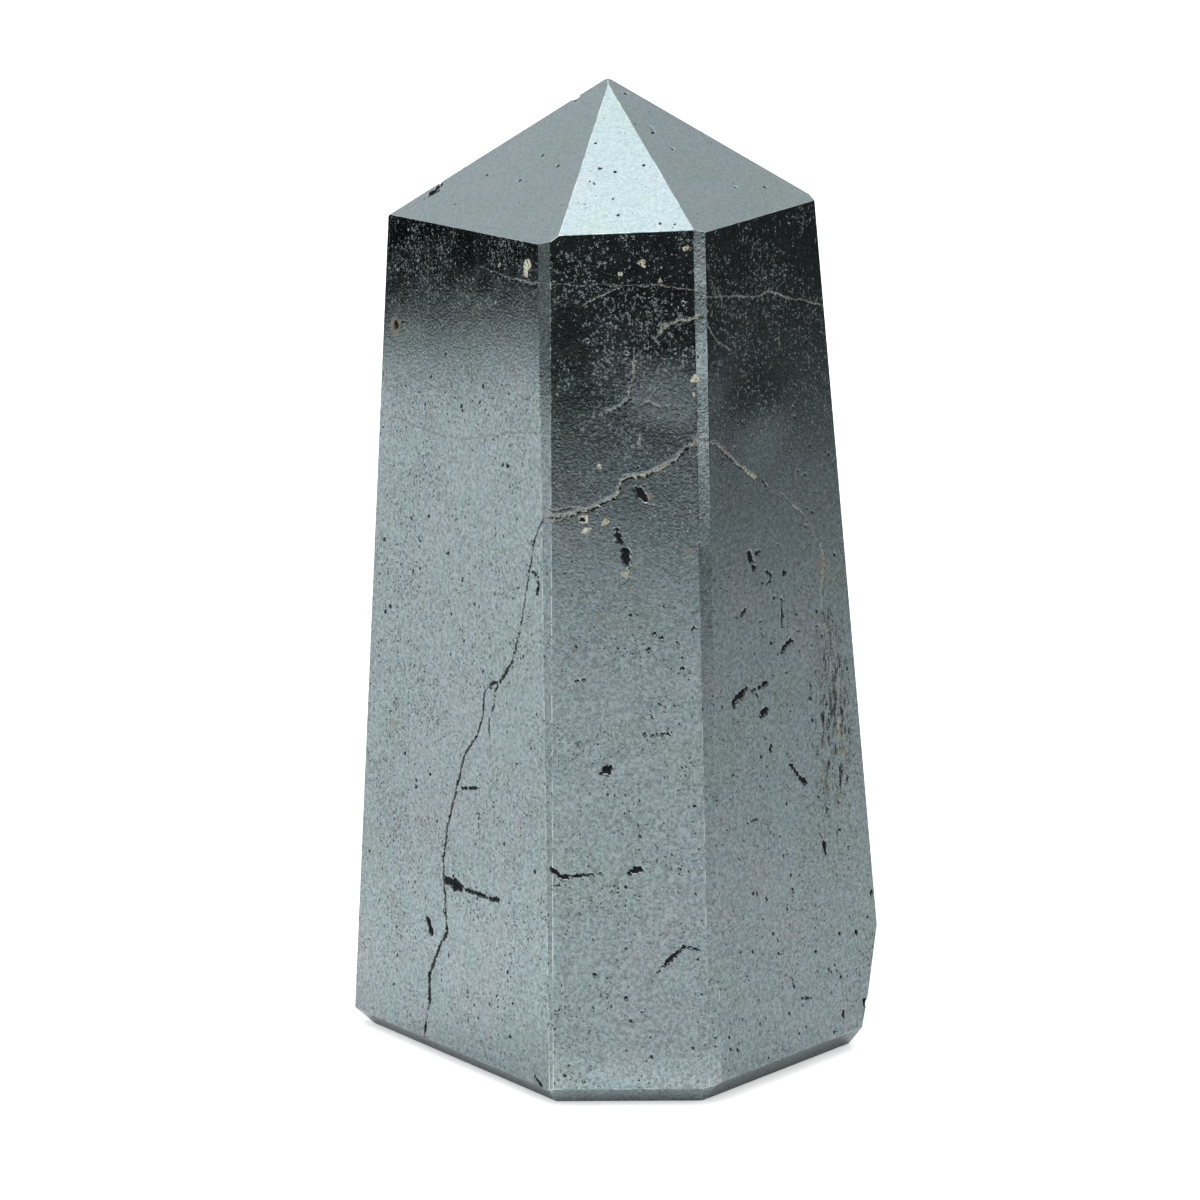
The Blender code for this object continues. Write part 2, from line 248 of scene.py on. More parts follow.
# Single pits are (width, across, height).
PITS = {
    "left": [(1.0, -13.0, 67.3), (0.5, -12.0, 67.6), (0.35, -5.8, 26.6), (0.35, -3.8, 47.6),
             (0.35, -8.2, 45.5), (0.35, -9.3, 45.0), (0.4, 10.8, 21.0)],
    "front": [(0.6, -3.1, 52.95), (0.35, 5.3, 42.0), (0.4, 6.7, 43.3), (0.4, 3.9, 42.4),
              (0.4, 2.7, 41.4), (0.3, 4.1, 45.2), (0.3, 2.0, 24.7), (0.3, 4.8, 23.0)],
    "right": [(0.5, -1.8, 48.9), (0.6, 2.0, 46.5), (0.4, -0.3, 40.5), (0.4, 6.6, 42.2),
              (0.4, -2.4, 30.4), (0.3, -3.2, 2.7), (0.6, 10.6, 11.4), (0.4, 4.4, 10.9),
              (0.4, 8.0, 7.7)],
    "left_crown": [(0.4, -0.7, 83.4), (0.4, -0.9, 81.3), (0.4, 2.5, 82.8)],
    "front_crown": [(0.35, -1.4, 84.8), (0.4, 0.4, 82.6), (0.35, 2.9, 83.1), (0.3, -1.4, 81.7),
                    (0.35, 0.8, 79.3), (0.35, 4.5, 78.7)],
    "right_crown": [(0.4, 3.0, 80.9), (0.4, 6.3, 80.7)],
}
# Nicks in the edges are (facet, width, across, height).
NICKS = [
    ("left_crown", 1.1, -2.75, 88.15),
    ("left_crown", 0.6, -11.5, 80.3),
    ("right", 1.0, 11.6, 4.4),
    ("right", 0.6, 13.2, 14.6),
    ("back", 0.8, 7.6, 31.0),
]
# How many more pits are strewn over each facet, thicker towards the foot and most of them small.
STREWN = {"left": 190, "front": 110, "right": 210, "back_right": 150, "back": 90, "back_left": 150,
          "left_crown": 8, "front_crown": 16, "right_crown": 12, "back_right_crown": 10,
          "back_crown": 8, "back_left_crown": 10}
STREWN_WIDTH = (0.16, 0.42)
STREWN_HALF = 25.0
TOWARDS_FOOT = 1.35
MOSTLY_SMALL = 2.2
CROWN_FOOT = 62.0
EDGE_ROOM = 0.3
DISC_STEP = 0.11
SEED = 26
rng = random.Random(SEED)


def surface_point(point):
    """The nearest place on the ground surface to a point just inside it."""
    depth, normal = min(((on - point).dot(out), out) for on, out in PLANES.values())
    return point + normal * depth


def room_around(name, point):
    """How far a place on a facet is from the nearest other facet."""
    return min((on - point).dot(out) for other, (on, out) in PLANES.items() if other != name)


def line_points(places, step=DISC_STEP):
    """Points close together along a line of (facet, across, height) places."""
    corners = [facet_point(*place) for place in places]
    points = []
    for start, end in zip(corners, corners[1:]):
        count = max(1, round((end - start).length / step))
        points += [surface_point(start.lerp(end, index / count)) for index in range(count)]
    return points + [surface_point(corners[-1])]


def ragged_line(places, first_width, depth, last_width=None, crumbs=0.3):
    """Discs of uneven size along a line, thin at both ends, with crumbs lost beside it."""
    points = line_points(places)
    discs = []
    for index, point in enumerate(points):
        along = index / len(points)
        width = first_width + ((last_width or first_width) - first_width) * along
        end = min(index, len(points) - 1 - index) * DISC_STEP / width
        thin = 0.5 + 0.5 * min(1.0, end)
        size = 0.8 + 0.9 * noise.noise(point * 1.3) + rng.uniform(-0.25, 0.25)
        shift = Vector([rng.uniform(-1, 1) for _ in range(3)]) * width
        discs.append((point + shift * 0.22, width / 2 * thin * max(0.3, size), depth * thin))
        if rng.random() < crumbs:
            radius = width * rng.uniform(0.12, 0.28)
            discs.append((point + shift * 0.75, radius, min(radius, depth)))
    return discs


def ragged_pit(name, width, across, height):
    """A few discs close together make one uneven pit."""
    sideways, up, _ = facet_axes(name)
    centre = facet_point(name, across, height)
    discs = [(centre, width * 0.42, width * 0.42)]
    for _ in range(3):
        turn = rng.uniform(0.0, math.tau)
        away = width * rng.uniform(0.15, 0.42)
        place = centre + (sideways * math.cos(turn) + up * math.sin(turn)) * away
        discs.append((place, width * rng.uniform(0.16, 0.3), width * rng.uniform(0.2, 0.38)))
    return discs


fissure = [("left", *place) for place in FISSURE]
fissure_twin = [("left", *place) for place in FISSURE_TWIN]
hollows = ragged_line(fissure, FISSURE_WIDTHS[0], FISSURE_DEPTH, FISSURE_WIDTHS[1], FISSURE_CRUMBS)
hollows += ragged_line(fissure_twin, TWIN_WIDTH, TWIN_WIDTH)
for name, scars in SCARS.items():
    for width, places in scars:
        scar = [(name, *place) for place in places]
        hollows += ragged_line(scar, width, min(SCAR_DEPTH, width / 2))
for name, pits in PITS.items():
    for width, across, height in pits:
        hollows += ragged_pit(name, width, across, height)
for name, width, across, height in NICKS:
    hollows += ragged_pit(name, width, across, height)
for name, count in STREWN.items():
    low = CROWN_FOOT if name.endswith("crown") else 0.0
    while count:
        across = rng.uniform(-STREWN_HALF, STREWN_HALF)
        height = low + (HEIGHT - low) * rng.random() ** TOWARDS_FOOT
        if room_around(name, facet_point(name, across, height)) > EDGE_ROOM:
            spare = STREWN_WIDTH[1] - STREWN_WIDTH[0]
            width = STREWN_WIDTH[0] + spare * rng.random() ** MOSTLY_SMALL
            hollows += ragged_pit(name, width, across, height)
            count -= 1


# The seams. Thin sheets of softer, pale tan and rusty mineral run through the ore. Where a facet
# crosses one it shows as a line, ground a little lower than the hematite around it.
# Each seam is (width, strength, places).
SEAMS = [
    (0.24, 0.95, [("front", -6.3, 53.2), ("front", -4.5, 53.3), ("front", -2.7, 53.8),
                  ("front", -1.4, 54.4), ("front", -0.2, 55.0), ("front", 0.25, 56.3),
                  ("front", 1.0, 56.7), ("front", 2.35, 56.8), ("front", 3.5, 57.4),
                  ("front", 4.9, 58.1), ("front", 5.9, 59.2), ("front", 7.2, 59.7),
                  ("front_right_strip", -0.2, 59.8), ("right", -6.9, 59.5),
                  ("right", -5.7, 58.5), ("right", -4.2, 57.3), ("right", -1.6, 55.7)]),
    (0.1, 0.8, [("front", -6.6, 54.0), ("front", -5.8, 53.8), ("front", -4.6, 53.9),
                ("front", -3.6, 54.0)]),
    (0.1, 0.7, [("front", -6.6, 52.7), ("front", -5.6, 52.8), ("front", -4.4, 53.0)]),
    (0.12, 0.6, [("front", -2.8, 71.8), ("front", -1.0, 72.8), ("front", 0.8, 73.3),
                 ("front", 3.5, 73.4), ("front", 7.2, 72.9)]),
    (0.07, 0.4, [("left", 0.6, 74.0), ("left", 3.4, 73.6), ("left", 6.4, 73.3),
                 ("left", 8.8, 73.3), ("left_front_strip", 0.1, 73.5), ("front", -6.0, 73.5),
                 ("front", -1.5, 73.5), ("front", 0.8, 73.3)]),
    (0.24, 0.8, [("front", 3.6, 69.2), ("front", 4.0, 69.9), ("front", 5.1, 70.3),
                 ("front", 6.6, 70.6), ("front", 7.2, 70.7)]),
    (0.16, 0.8, [("front", 1.4, 67.6), ("front", 1.4, 66.8)]),
    (0.42, 0.95, [("front", 1.4, 66.8), ("front", 1.3, 65.8), ("front", 1.2, 65.0)]),
    (0.2, 0.9, [("front", 1.2, 65.0), ("front", 0.9, 63.5), ("front", 0.3, 63.0),
                ("front", -0.8, 62.5)]),
    (0.14, 0.7, [("front", 3.4, 62.9), ("front", 2.7, 63.3), ("front", 2.2, 63.0)]),
    (0.2, 0.6, [("front", 1.9, 60.1), ("front", 1.9, 59.4)]),
    (0.22, 0.6, [("front", 0.9, 48.4), ("front", 0.8, 47.7)]),
    (0.12, 0.6, [("right", -7.1, 72.3), ("right", -4.7, 72.1), ("right", 0.1, 71.6),
                 ("right", 1.7, 71.9), ("right", 4.2, 71.1), ("right", 9.2, 69.8)]),
    (0.12, 0.5, [("right", -7.4, 70.1), ("right", -6.8, 69.0), ("right", -6.0, 68.3),
                 ("right", -4.5, 67.4)]),
    (0.12, 0.6, [("right", 2.2, 53.6), ("right", 5.0, 51.5), ("right", 7.5, 48.2)]),
    (0.3, 0.6, [("right", 7.5, 48.2), ("right", 8.0, 47.1), ("right", 7.4, 44.0),
                ("right", 7.4, 40.1), ("right", 9.0, 38.9), ("right", 9.2, 36.8),
                ("right", 9.5, 33.1), ("right", 9.1, 30.5), ("right", 9.9, 28.9),
                ("right", 9.8, 25.3), ("right", 11.0, 22.7)]),
    (0.2, 0.6, [("right", 6.4, 41.6), ("right", 6.9, 40.7), ("right", 7.8, 39.7)]),
    (0.14, 0.5, [("left", -15.1, 58.7), ("left", -12.0, 58.9), ("left", -7.1, 58.2),
                 ("left", -1.9, 58.3), ("left", 5.2, 59.9), ("left", 9.4, 60.5)]),
    (0.16, 0.6, [("left", -7.2, 60.2), ("left", -7.1, 59.4), ("left", -7.3, 58.3)]),
    (0.3, 0.7, [("back_right", -9.6, 61.5), ("back_right", -6.2, 60.2),
                ("back_right", -2.5, 61.0), ("back_right", 1.4, 58.6),
                ("back_right", 4.8, 57.9)]),
    (0.3, 0.7, [("back_left", -6.0, 33.5), ("back_left", -2.8, 36.1), ("back_left", 0.4, 36.9),
                ("back_left", 4.4, 40.2), ("back_left", 6.6, 40.6)]),
]
# Rust stains are (width, strength, facet, across, height), round pits and in speckled patches.
# The small ones need the finest mesh, so that they keep their outline.
STAINS = [
    (3.2, 0.9, "left", -13.1, 67.2), (1.0, 1.0, "left", -12.7, 35.1), (0.9, 1.0, "left", -5.1, 35.5),
    (0.9, 0.9, "left", -14.0, 26.1), (0.9, 0.9, "left", -10.1, 23.9), (0.8, 0.8, "left", -10.7, 20.5),
    (0.7, 1.0, "front", -2.8, 51.9), (0.8, 1.0, "front", -1.1, 52.7),
    (0.9, 0.9, "front", -6.0, 46.4), (1.5, 0.8, "front", -3.3, 45.8), (1.1, 0.8, "front", -3.9, 41.4),
    (1.0, 0.8, "front", -1.4, 44.3), (2.4, 0.6, "front", 4.1, 47.6), (1.1, 0.8, "front", 6.2, 50.0),
    (4.4, 0.44, "left", -6.0, 54.0), (3.8, 0.44, "left", 1.4, 48.5), (3.0, 0.44, "left", 0.0, 45.0),
    (1.8, 0.5, "left", -3.9, 63.3), (6.0, 0.42, "left", -12.0, 30.0), (7.0, 0.42, "left", -11.0, 13.0),
    (1.4, 0.9, "front", 2.8, 54.9), (1.1, 0.8, "front", 1.0, 46.8), (0.9, 0.7, "front", 5.3, 42.0),
    (0.8, 0.6, "front", -2.4, 23.0), (0.9, 0.9, "front_right_strip", -0.2, 65.2),
    (1.0, 0.8, "right", 4.4, 39.3), (5.0, 0.55, "right", 7.6, 46.5), (4.4, 0.5, "right", 5.6, 44.0),
    (3.6, 0.5, "right", 8.4, 40.6), (3.0, 0.5, "right", 9.8, 28.5),
    (3.0, 0.6, "back_right", 2.0, 52.0), (2.6, 0.6, "back_left", -3.0, 47.0),
    (2.8, 0.6, "back", -1.5, 36.0), (2.2, 0.7, "back_right", -4.0, 30.0),
]
SMALL_STAIN = 1.2
# Grains of pale mineral are (width, facet, across, height).
PALE_GRAINS = [
    (1.7, "left", 7.1, 74.9), (0.5, "left", 3.0, 74.5), (0.7, "front", 5.9, 76.6),
    (0.9, "front", 2.2, 75.4), (0.6, "front", 0.2, 74.4), (0.5, "front", 3.7, 73.8),
    (1.1, "front", 6.8, 65.3), (1.3, "front", -3.1, 52.9), (0.9, "front", -2.8, 51.9),
    (0.9, "front", -1.1, 52.7), (0.7, "front", -1.6, 57.6), (0.8, "front", 0.6, 48.0),
    (0.6, "front_right_strip", -0.3, 63.9), (0.8, "back", -2.5, 66.0),
    (0.6, "back_right", 3.0, 70.0),
]
SEAM_DEPTH = 0.01
SEAM_REACH = 0.6
SEAM_SWAY = 0.12
SWAYS_PER_MM = 0.9
SEAM_DISC = 0.1

# The fissure's own lines are drawn the same way, but dark.
CRACKS = [(0.15, 1.0, fissure), (0.1, 0.8, fissure_twin)]

seam_discs = []
seam_steps = []
for lines, darkness in ((SEAMS, 0.0), (CRACKS, 1.0)):
    for width, strength, places in lines:
        points = [point + noise.noise_vector(point * SWAYS_PER_MM) * SEAM_SWAY
                  for point in line_points(places)]
        seam_discs += [(point, SEAM_DISC, strength) for point in points]
        seam_steps += [(point, (ahead - point).normalized(), width, strength, darkness)
                       for point, ahead in zip(points, points[1:])]
stain_discs = [(facet_point(name, across, height), width / 2, strength)
               for width, strength, name, across, height in STAINS]
pale_discs = []
for width, name, across, height in PALE_GRAINS:
    pale_discs += [(place, radius, 1.0)
                   for place, radius, _ in ragged_pit(name, width, across, height)]


# The carved surface. The flat facets are cut into small triangles, finest where a flaw or a seam
# lies, and each point there is pressed in along the stone's normal. Edges are FINE long at a mark
# and lengthen by GROWTH with the distance from it, to COARSE at most.
MM = 0.001
SLICE = 2.0
SLICED = (("X", -26.0, 26.0), ("Y", -24.0, 24.0), ("Z", 0.0, HEIGHT))
SLICE_TOLERANCE = 1e-4
COARSE = 1.5
FINE = 0.2
GROWTH = 1.0
HALVINGS = 5
RIM_WAVER = 0.05
WAVERS_PER_MM = 3.1

for axis, low, high in SLICED:
    normal = Vector([float(axis == letter) for letter in "XYZ"])
    place = low + SLICE
    while place < high:
        bmesh.ops.bisect_plane(stone, geom=stone.verts[:] + stone.edges[:] + stone.faces[:],
                               plane_co=normal * place, plane_no=normal,
                               dist=SLICE_TOLERANCE)
        place += SLICE
bmesh.ops.triangulate(stone, faces=stone.faces[:])

marks = hollows + seam_discs + pale_discs + [disc for disc in stain_discs if 2 * disc[1] < SMALL_STAIN]
near = kdtree.KDTree(len(marks))
for index, (place, _, _) in enumerate(marks):
    near.insert(place, index)
near.balance()


def too_long(edge):
    """Whether an edge is longer than the detail that it runs through allows."""
    start, end = edge.verts[0].co, edge.verts[1].co
    length = (end - start).length
    if length < FINE:
        return False
    _, index, distance = near.find((start + end) / 2)
    beyond = max(0.0, distance - marks[index][1] - length / 3)
    return length > min(COARSE, FINE + beyond * GROWTH)


for _ in range(HALVINGS):
    long_edges = [edge for edge in stone.edges if too_long(edge)]
    bmesh.ops.subdivide_edges(stone, edges=long_edges, cuts=1, use_grid_fill=True)
    bmesh.ops.triangulate(stone, faces=[face for face in stone.faces if len(face.verts) > 3])
stone.normal_update()
stone.verts.ensure_lookup_table()

wavered = kdtree.KDTree(len(stone.verts))
for vert in stone.verts:
    wavered.insert(vert.co + noise.noise_vector(vert.co * WAVERS_PER_MM) * RIM_WAVER, vert.index)
wavered.balance()


def smooth_step(value):
    """A soft rise from nothing to one."""
    value = min(1.0, max(0.0, value))
    return value * value * (3.0 - 2.0 * value)


def lay_down(discs, wall):
    """The strongest of the discs at each point, full inside and fading over the wall's share."""
    found = {}
    for place, radius, strength in discs:
        for _, index, distance in wavered.find_range(place, radius):
            value = strength * smooth_step((1.0 - distance / radius) / wall)
            found[index] = max(found.get(index, 0.0), value)
    return found


HOLLOW_WALL = 0.6
STAIN_WALL = 1.0
GRAIN_WALL = 0.5
SEAM_WALL = 0.6
GROOVE_HALF_WIDTHS = 1.5
# A hollow this deep is fully darkened by painted shade.
FULLY_DARK_DEPTH = 0.12
LARGEST_OFFSET = 20.0

hollow = lay_down(hollows, HOLLOW_WALL)
seam = {}
seam_offset = {}
crack = {}
nearest = {}
for place, ahead, width, strength, darkness in seam_steps:
    for _, index, distance in wavered.find_range(place, SEAM_REACH):
        if distance < nearest.get(index, SEAM_REACH):
            nearest[index] = distance
            crack[index] = darkness
            vert = stone.verts[index]
            seam[index] = strength * smooth_step((1.0 - distance / SEAM_REACH) / SEAM_WALL)
            seam_offset[index] = (vert.co - place).dot(vert.normal.cross(ahead)) / (width / 2)
stain = lay_down(stain_discs, STAIN_WALL)
pale = lay_down(pale_discs, GRAIN_WALL)

inward = {vert.index: -vert.normal.copy() for vert in stone.verts}
moved = set()
for index, depth in hollow.items():
    vert = stone.verts[index]
    vert.co += inward[index] * depth * (0.85 + 0.35 * noise.noise(vert.co * 5.3))
    moved.add(vert)
for index, amount in seam.items():
    if index not in hollow and abs(seam_offset[index]) < GROOVE_HALF_WIDTHS:
        stone.verts[index].co += inward[index] * amount * SEAM_DEPTH
        moved.add(stone.verts[index])
for face in stone.faces:
    face.smooth = any(vert in moved for vert in face.verts)

bmesh.ops.scale(stone, vec=(MM, MM, MM), verts=stone.verts)
mesh = bpy.data.meshes.new("hematite_stone")
stone.to_mesh(mesh)
stone.free()
for label, found, scale, limit in (("hollow", hollow, 1 / FULLY_DARK_DEPTH, 1.0),
                                   ("seam", seam, 1.0, 1.0), ("crack", crack, 1.0, 1.0),
                                   ("seam_offset", seam_offset, 1.0, LARGEST_OFFSET),
                                   ("stain", stain, 1.0, 1.0), ("pale", pale, 1.0, 1.0)):
    layer = mesh.attributes.new(label, "FLOAT", "POINT")
    for index, value in found.items():
        layer.data[index].value = max(-limit, min(limit, value * scale))
point = bpy.data.objects.new("hematite_stone", mesh)
bpy.context.scene.collection.objects.link(point)


# The polish. Massive hematite takes a dark blue-grey metallic lustre. Its ore grains, pores and
# fine orange peel stay visible, pores hold black or olive earth, and the seams stay dull and tan.
polish = bpy.data.materials.new("polished_hematite")
polish.use_nodes = True
tree = polish.node_tree
tree.nodes.clear()


def add(kind, inputs=None, **settings):
    """A node in the tree at hand, with its sockets either linked or set."""
    node = tree.nodes.new(kind)
    for key, value in settings.items():
        setattr(node, key, value)
    for key, value in (inputs or {}).items():
        if isinstance(value, bpy.types.NodeSocket):
            tree.links.new(value, node.inputs[key])
        else:
            node.inputs[key].default_value = value
    return node


def maths(operation, first, second=0.0, clamp=False):
    """One step of arithmetic on two values."""
    node = add("ShaderNodeMath", {0: first, 1: second}, operation=operation, use_clamp=clamp)
    return node.outputs[0]


def spread(value, low, high, to_low=0.0, to_high=1.0):
    """Maps a range of values on another, held at its ends, with a soft curve between."""
    node = add("ShaderNodeMapRange", {0: value, 1: low, 2: high, 3: to_low, 4: to_high},
               interpolation_type="SMOOTHSTEP")
    return node.outputs[0]


def blend(factor, first, second, how="MIX"):
    """Two colours laid over each other."""
    node = add("ShaderNodeMix", {0: factor, 6: first, 7: second}, data_type="RGBA", blend_type=how)
    return node.outputs[2]


def cloud(where, scale, detail=3.0, roughness=0.55, output="Fac"):
    """Soft random patches, so many to the millimetre."""
    inputs = {"Vector": where, "Scale": scale, "Detail": detail, "Roughness": roughness}
    return add("ShaderNodeTexNoise", inputs).outputs[output]


def mask(label):
    """One of the values that the carved surface carries."""
    return add("ShaderNodeAttribute", attribute_name=label).outputs["Fac"]


def pores(where, per_mm, crowd, largest):
    """How deep inside a pore a place is, in cells. Crowded places have more and larger pores."""
    cells = add("ShaderNodeTexVoronoi", {"Vector": where, "Scale": per_mm})
    dice = add("ShaderNodeSeparateColor", {0: cells.outputs["Color"]})
    radius = maths("MULTIPLY", maths("SUBTRACT", crowd, dice.outputs[0]), 1.3)
    limit = spread(dice.outputs[1], 0.0, 1.0, largest * 0.5, largest)
    return maths("SUBTRACT", maths("MINIMUM", radius, limit), cells.outputs["Distance"])


def near_place(name, across, height, radius, tall=1.0):
    """One at a place on a facet, fading to nothing at a radius that may be longer upwards."""
    apart = add("ShaderNodeVectorMath", {0: at, 1: facet_point(name, across, height)},
                operation="SUBTRACT").outputs[0]
    apart = add("ShaderNodeVectorMath", {0: apart, 1: (1.0, 1.0, 1.0 / tall)},
                operation="MULTIPLY").outputs[0]
    far = add("ShaderNodeVectorMath", {0: apart}, operation="LENGTH").outputs["Value"]
    return spread(far, 0.0, radius, 1.0, 0.0)


at = add("ShaderNodeTexCoord").outputs["Object"]
at = add("ShaderNodeVectorMath", {0: at, 3: 1 / MM}, operation="SCALE").outputs[0]
wander = add("ShaderNodeVectorMath", {0: cloud(at, 6.0, 1.0, output="Color"), 1: (0.5, 0.5, 0.5)},
             operation="SUBTRACT").outputs[0]
wander = add("ShaderNodeVectorMath", {0: wander, 3: 0.5}, operation="SCALE").outputs[0]
uneven = add("ShaderNodeVectorMath", {0: at, 1: wander}, operation="ADD").outputs[0]
upright = add("ShaderNodeVectorMath", {0: uneven, 1: (1.0, 1.0, 0.3)},
              operation="MULTIPLY").outputs[0]

GREEN_GREY = (0.232, 0.288, 0.286, 1.0)
BLUE_GREY = (0.232, 0.29, 0.305, 1.0)
PURPLE_GREY = (0.25, 0.288, 0.303, 1.0)
tone = cloud(at, 0.11, 2.0, 0.6)
slow = cloud(at, 0.5, 2.0, 0.6)
grain = cloud(at, 4.2, 2.0, 0.75)
ore = blend(spread(tone, 0.38, 0.5), GREEN_GREY, BLUE_GREY)
ore = blend(spread(tone, 0.52, 0.66), ore, PURPLE_GREY)
DIM_GRAIN = (0.66, 0.66, 0.66, 1.0)
BRIGHT_GRAIN = (1.28, 1.28, 1.28, 1.0)
grains = blend(spread(cloud(at, 2.9, 3.0, 0.85), 0.34, 0.66), DIM_GRAIN, BRIGHT_GRAIN)
ore = blend(spread(mask("crown"), 0.0, 1.0, 1.0, 0.4), ore, grains, "MULTIPLY")
# The left-front strip is darkened a little towards near-black.
STRIP_DARK_GREY = (0.02, 0.025, 0.028, 1.0)
# The lighter grey laid in patches on the rounded edges is a painted highlight.
EDGE_HIGHLIGHT_GREY = (0.4, 0.46, 0.46, 1.0)
ore = blend(maths("MULTIPLY", mask("dark_strip"), 0.22), ore, STRIP_DARK_GREY)
ore = blend(maths("MULTIPLY", mask("edge"), spread(slow, 0.45, 0.6)), ore, EDGE_HIGHLIGHT_GREY)

# Pores crowd in clouds, in stains and on the left face's outer half. Beside the rusty seam they stand
# in upright streaks, and the crown has few.
PORES_PER_MM = 3.2
LARGEST_PORE = 0.37
streaks = near_place("right", 8.2, 32.0, 8.0, 3.0)
crowd = spread(cloud(at, 0.2, 3.0, 0.6), 0.36, 0.66, 0.2, 0.72)
crowd = maths("ADD", crowd, maths("MULTIPLY", mask("stain"), 0.8))
crowd = maths("ADD", crowd, maths("MULTIPLY", near_place("left", -9.0, 28.0, 9.0, 3.5), 0.25))
crowd = maths("MULTIPLY", crowd, spread(mask("crown"), 0.0, 1.0, 1.0, 0.3))
fine = pores(uneven, PORES_PER_MM, crowd, LARGEST_PORE)
specks = maths("ADD", grain, maths("MULTIPLY", crowd, 0.12))
streaked = maths("ADD", cloud(upright, 2.6, 3.0, 0.75), maths("MULTIPLY", streaks, 0.25))
pore_bowl = maths("MAXIMUM", spread(fine, -0.1, 0.1), spread(specks, 0.71, 0.8))
pore_dark = maths("MAXIMUM", spread(fine, -0.02, 0.06),
                  maths("MAXIMUM", spread(specks, 0.73, 0.77), spread(streaked, 0.74, 0.78)))
# Painted shade: the hollows are darkened in colour, more the deeper they are.
hollow_painted_shade = spread(maths("ADD", mask("hollow"), maths("MULTIPLY", cloud(at, 6.0), 0.3)),
                     0.3, 0.75)
dark = maths("MAXIMUM", pore_dark, hollow_painted_shade)

# Hollows are painted black as shade, darker the deeper they are, and pores hold black or olive earth
# by the region. Rust stains the ore beside.
BLACK_EARTH_AND_SHADE = (0.01, 0.012, 0.014, 1.0)
EARTH_OLIVE = (0.085, 0.085, 0.055, 1.0)
earthy = maths("MULTIPLY", spread(slow, 0.46, 0.58), maths("SUBTRACT", 1.0, hollow_painted_shade))
surface = blend(dark, ore, blend(earthy, BLACK_EARTH_AND_SHADE, EARTH_OLIVE))
RUST = (0.19, 0.155, 0.09, 1.0)
stained = spread(maths("MULTIPLY", mask("stain"), grain), 0.15, 0.36)
stained = maths("MULTIPLY", stained, maths("SUBTRACT", 0.8, maths("MULTIPLY", hollow_painted_shade, 0.7)))
surface = blend(stained, surface, RUST)

# A seam is drawn by the distance from its middle, counted in halves of its width.
SEAM_TAN = (0.27, 0.25, 0.135, 1.0)
SEAM_CREAM = (0.43, 0.43, 0.32, 1.0)
SEAM_HEART = (0.06, 0.062, 0.05, 1.0)
sway = cloud(at, 2.0, 3.0, 0.75)
swayed = maths("ADD", mask("seam_offset"), maths("MULTIPLY", maths("SUBTRACT", sway, 0.5), 7.0))
aside = maths("MULTIPLY", maths("ABSOLUTE", swayed), spread(slow, 0.35, 0.65, 1.9, 0.6))
seam_body = maths("MULTIPLY", spread(aside, 0.7, 1.25, 1.0, 0.0), mask("seam"))
unbroken = maths("MAXIMUM", mask("crack"), spread(grain, 0.38, 0.55, 0.05, 1.0))
seam_shown = maths("MULTIPLY", seam_body, unbroken)
heart = maths("MULTIPLY", spread(aside, 0.15, 0.45, 1.0, 0.0), spread(tone, 0.45, 0.55, 0.0, 0.9))
heart = maths("MAXIMUM", heart, mask("crack"))
seam_colour = blend(heart, blend(spread(sway, 0.4, 0.6), SEAM_TAN, SEAM_CREAM), SEAM_HEART)
surface = blend(seam_shown, surface, seam_colour)

# Grains of pale mineral have crumbled edges, and earth lies in the pits that they left.
PALE_MINERAL = (0.52, 0.52, 0.42, 1.0)
crumbled = maths("MULTIPLY", maths("SUBTRACT", grain, 0.5), 5.0)
pale_shown = spread(maths("MULTIPLY", mask("pale"), maths("ADD", crumbled, 1.0)), 0.42, 0.75)
pale_shown = maths("MULTIPLY", pale_shown, maths("SUBTRACT", 1.0, hollow_painted_shade))
surface = blend(pale_shown, surface, blend(spread(sway, 0.42, 0.58), SEAM_TAN, PALE_MINERAL))

# Only the ore is metallic. Whatever lies on it is duller and rougher.
dull = maths("MAXIMUM", maths("MAXIMUM", seam_shown, pale_shown),
             maths("MAXIMUM", maths("MULTIPLY", dark, 0.8), maths("MULTIPLY", stained, 0.6)))
metal = maths("SUBTRACT", 1.0, dull, clamp=True)
POLISH_ROUGHNESS = (0.06, 0.11)
DULL_ROUGHNESS = 0.5
rough = maths("ADD", spread(slow, 0.3, 0.75, *POLISH_ROUGHNESS),
              maths("MULTIPLY", dull, DULL_ROUGHNESS))

# Heights are in millimetres: the wheel's slow waves and two soft swells, orange peel, pores, crumbs.
WHEEL_WAVE = 0.05
FRONT_SWELL = 0.08
RIGHT_SWELL = 0.045
ORANGE_PEEL = 0.0048
PORE_DEPTH = -0.03
CRUMB_HEIGHT = 0.06
crumbs = maths("MULTIPLY", maths("SUBTRACT", cloud(at, 7.0, 1.0), 0.5), mask("hollow"))
relief = maths("MULTIPLY", cloud(at, 0.07, 1.0), WHEEL_WAVE)
for form, height in ((near_place("front", 4.8, 67.3, 7.0), FRONT_SWELL),
                     (near_place("right", -0.4, 61.2, 5.2), RIGHT_SWELL),
                     (cloud(at, 4.2, 2.0), ORANGE_PEEL), (pore_bowl, PORE_DEPTH),
                     (crumbs, CRUMB_HEIGHT)):
    relief = maths("ADD", relief, maths("MULTIPLY", form, height))
bump = add("ShaderNodeBump", {"Strength": 1.0, "Distance": MM, "Height": relief})

gloss = maths("SUBTRACT", 0.5, maths("MULTIPLY", dark, 0.4))
shader = add("ShaderNodeBsdfPrincipled", {"Base Color": surface, "Metallic": metal,
                                          "Specular IOR Level": gloss,
                                          "Roughness": rough, "Normal": bump.outputs[0]})
add("ShaderNodeOutputMaterial", {"Surface": shader.outputs[0]})
mesh.materials.append(polish)
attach(point, "root")
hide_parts("hematite_point")
